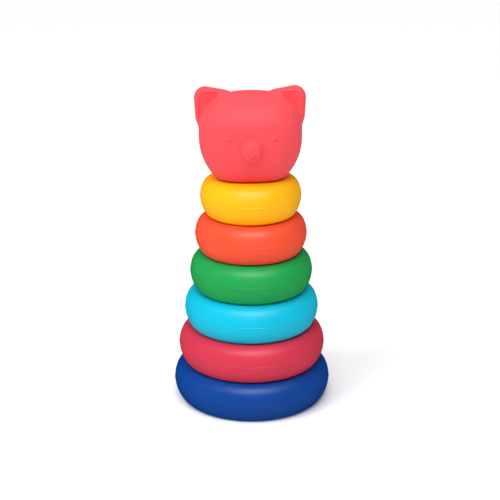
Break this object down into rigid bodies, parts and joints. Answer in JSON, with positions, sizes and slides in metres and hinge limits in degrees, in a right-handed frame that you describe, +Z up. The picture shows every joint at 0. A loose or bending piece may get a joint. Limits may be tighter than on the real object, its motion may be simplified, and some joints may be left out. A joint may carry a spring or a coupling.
{
  "type": "ring stacker toy",
  "caption": "Stacking toy: plump hollow rings in shrinking sizes slide over the post of a round base, capped by a soft cat's head.",
  "frame": {"origin": "centre of the underside of the base, where it rests on the floor", "axes": "+Z up along the post, -Y the way the cat's face looks, +X towards the head's left ear"},
  "size_m": [0.1204, 0.1204, 0.2426],
  "materials": {
    "navy_plastic": "satin",
    "raspberry_plastic": "satin",
    "cyan_plastic": "satin",
    "green_plastic": "satin",
    "orange_plastic": "satin",
    "yellow_plastic": "satin",
    "coral_soft_plastic": "soft touch, matte",
    "bone_plastic": "satin"
  },
  "bodies": {
    "base": {"base_lower_shell": "navy_plastic", "base_upper_shell": "navy_plastic", "post": "bone_plastic"},
    "raspberry_ring": {"raspberry_ring_lower_shell": "raspberry_plastic", "raspberry_ring_upper_shell": "raspberry_plastic"},
    "cyan_ring": {"cyan_ring_lower_shell": "cyan_plastic", "cyan_ring_upper_shell": "cyan_plastic"},
    "green_ring": {"green_ring_lower_shell": "green_plastic", "green_ring_upper_shell": "green_plastic"},
    "orange_ring": {"orange_ring_lower_shell": "orange_plastic", "orange_ring_upper_shell": "orange_plastic"},
    "yellow_ring": {"yellow_ring_lower_shell": "yellow_plastic", "yellow_ring_upper_shell": "yellow_plastic"},
    "head": {"head_plug": "bone_plastic", "head_shell": "coral_soft_plastic"}
  },
  "joints": [
    {"name": "raspberry_ring_lift", "type": "slide", "parent": "base", "child": "raspberry_ring", "axis": [0, 0, 1], "range_m": [0, 0.1832]},
    {"name": "cyan_ring_lift", "type": "slide", "parent": "raspberry_ring", "child": "cyan_ring", "axis": [0, 0, 1], "range_m": [0, 0.154]},
    {"name": "green_ring_lift", "type": "slide", "parent": "cyan_ring", "child": "green_ring", "axis": [0, 0, 1], "range_m": [0, 0.1247]},
    {"name": "orange_ring_lift", "type": "slide", "parent": "green_ring", "child": "orange_ring", "axis": [0, 0, 1], "range_m": [0, 0.0955]},
    {"name": "yellow_ring_lift", "type": "slide", "parent": "orange_ring", "child": "yellow_ring", "axis": [0, 0, 1], "range_m": [0, 0.0663]},
    {"name": "head_lift", "type": "slide", "parent": "yellow_ring", "child": "head", "axis": [0, 0, 1], "range_m": [0, 0.037]}
  ]
}
